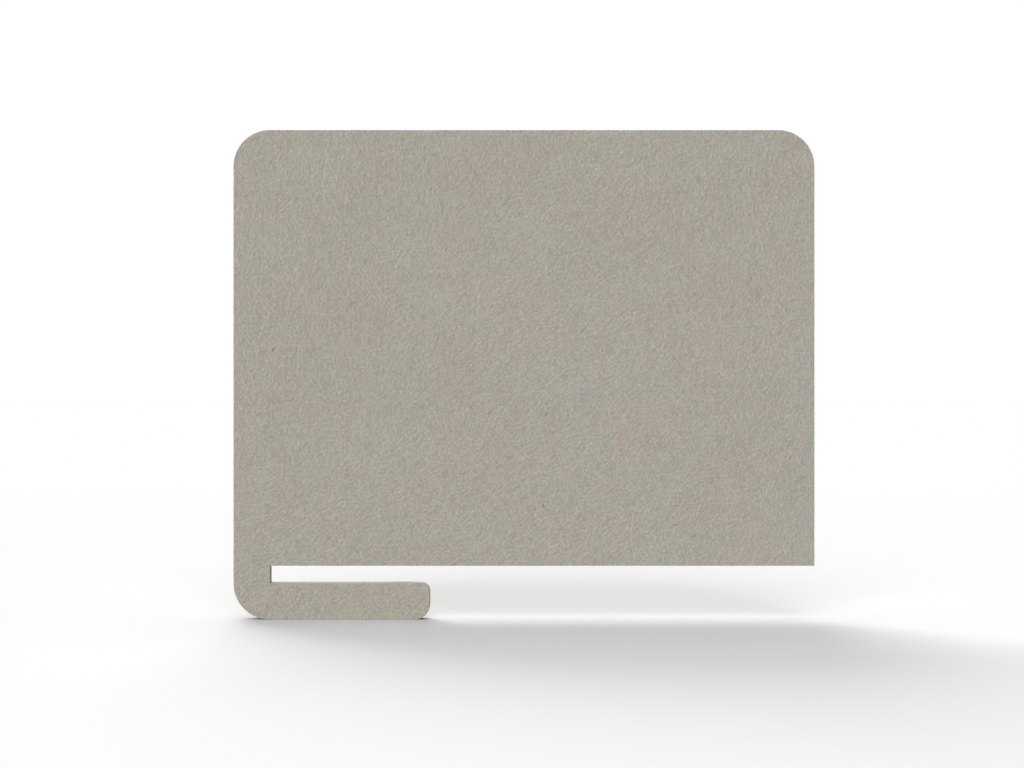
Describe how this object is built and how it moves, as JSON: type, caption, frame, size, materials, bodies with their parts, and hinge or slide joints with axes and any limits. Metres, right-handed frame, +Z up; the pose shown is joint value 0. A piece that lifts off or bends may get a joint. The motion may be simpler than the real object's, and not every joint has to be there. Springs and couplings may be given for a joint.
{
  "type": "acoustic desk screen",
  "caption": "Flat felt desk screen with rounded top corners and a hooked leg and arm, whose slot slides over a desktop's edge to divide and quieten a workspace.",
  "frame": {"origin": "halfway through the thickness, on the line where the slot's end meets the desktop's top face: the panel's underside rests on the desktop at z = 0 and the desktop's edge stops at x = 0", "axes": "+X along the desktop, away from the edge that the slot takes in; +Z up; -Y is the front face, which the picture shows; +Y is the rear face"},
  "size_m": [0.8, 0.024, 0.674],
  "materials": {
    "felt": "matte",
    "hot_melt_film": "satin"
  },
  "bodies": {
    "root": {"front_board": "felt", "bond_film": "hot_melt_film", "rear_board": "felt"}
  },
  "joints": []
}
